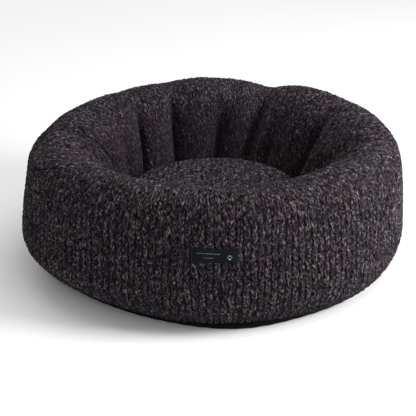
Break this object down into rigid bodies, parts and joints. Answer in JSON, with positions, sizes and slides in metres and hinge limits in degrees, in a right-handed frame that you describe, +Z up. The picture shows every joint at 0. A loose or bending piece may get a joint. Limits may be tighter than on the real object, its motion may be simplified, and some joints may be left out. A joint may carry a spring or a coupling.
{
  "type": "pet bed",
  "caption": "Round donut pet bed: a puffy knit-covered ring round a nest, a loose crowned cushion in the middle and a flat black fabric base.",
  "frame": {"origin": "centre of the flat underside of the base, on the surface the bed stands on", "axes": "+Z up, -Y towards the front, where the label is, +X to the right seen from the front"},
  "size_m": [0.5, 0.5, 0.18],
  "materials": {
    "marled_knit": "matte",
    "dark_thread": "matte",
    "lining": "matte",
    "fibre_fill": "matte",
    "base_fabric": "matte",
    "wadding": "matte",
    "label_weave": "matte",
    "label_thread": "matte"
  },
  "bodies": {
    "bed": {"bolster_cover": "marled_knit", "cover_join_seam": "dark_thread", "bolster_liner": "lining", "bolster_fill": "fibre_fill", "base_cover": "base_fabric", "base_pad": "wadding", "nest_floor": "base_fabric", "base_seam_thread": "dark_thread", "nest_seam_thread": "dark_thread", "side_label": "label_weave", "label_stitches": "label_thread"},
    "cushion": {"cushion_top": "marled_knit", "cushion_underside": "base_fabric", "cushion_liner": "lining", "cushion_fill": "fibre_fill", "cushion_seam_thread": "dark_thread"}
  },
  "joints": [
    {"name": "cushion_lift", "type": "slide", "parent": "bed", "child": "cushion", "axis": [0, 0, 1], "range_m": [0, 0.25]}
  ]
}
